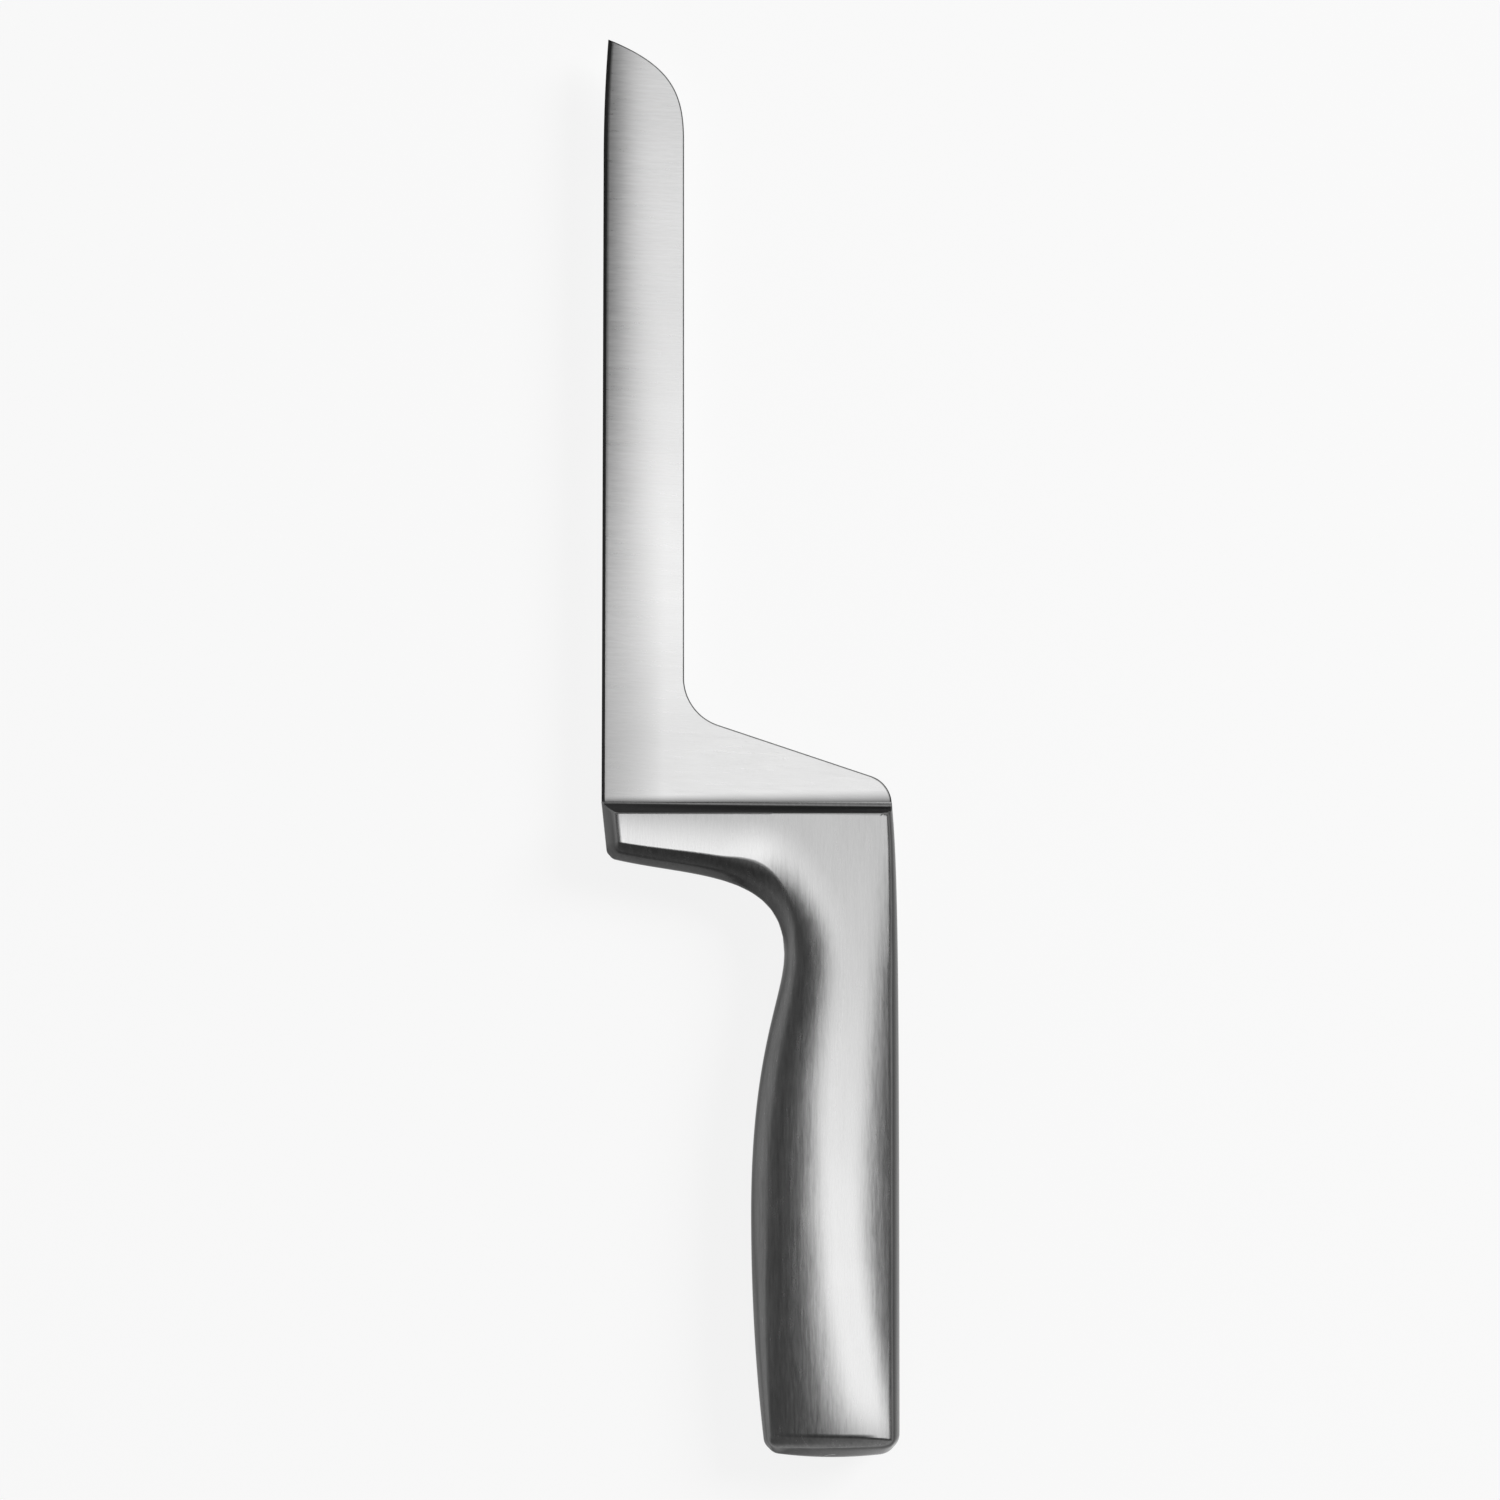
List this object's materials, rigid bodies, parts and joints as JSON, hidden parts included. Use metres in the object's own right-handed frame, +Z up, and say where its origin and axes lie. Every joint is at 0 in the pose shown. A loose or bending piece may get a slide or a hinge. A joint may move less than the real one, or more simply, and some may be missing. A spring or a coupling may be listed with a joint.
{
  "type": "offset cheese knife",
  "caption": "Offset cheese knife: a narrow straight blade stepped out from a flat-sided hollow steel handle, so that the knuckles clear the board.",
  "frame": {"origin": "bottom centre of the knife's bounding box as the knife lies on its side", "axes": "+Y along the blade towards its tip, +X from the cutting edge towards the back of the handle, +Z up through the thickness"},
  "size_m": [0.061, 0.2901, 0.0164],
  "materials": {
    "blade_steel": "stainless steel brushed across the blade, with a bright honed bevel",
    "handle_steel": "stainless steel brushed along the handle",
    "weld_steel": "weld metal ground flush and brushed with the handle",
    "pin_steel": "plain drawn steel, hidden inside the handle",
    "core_resin": "cast filler, hidden inside the handle"
  },
  "bodies": {
    "root": {"blade": "blade_steel", "front_shell": "handle_steel", "back_shell": "handle_steel", "seam_weld": "weld_steel", "filler_core": "core_resin", "upper_tang_pin": "pin_steel", "lower_tang_pin": "pin_steel", "fill_plug": "weld_steel"}
  },
  "joints": []
}
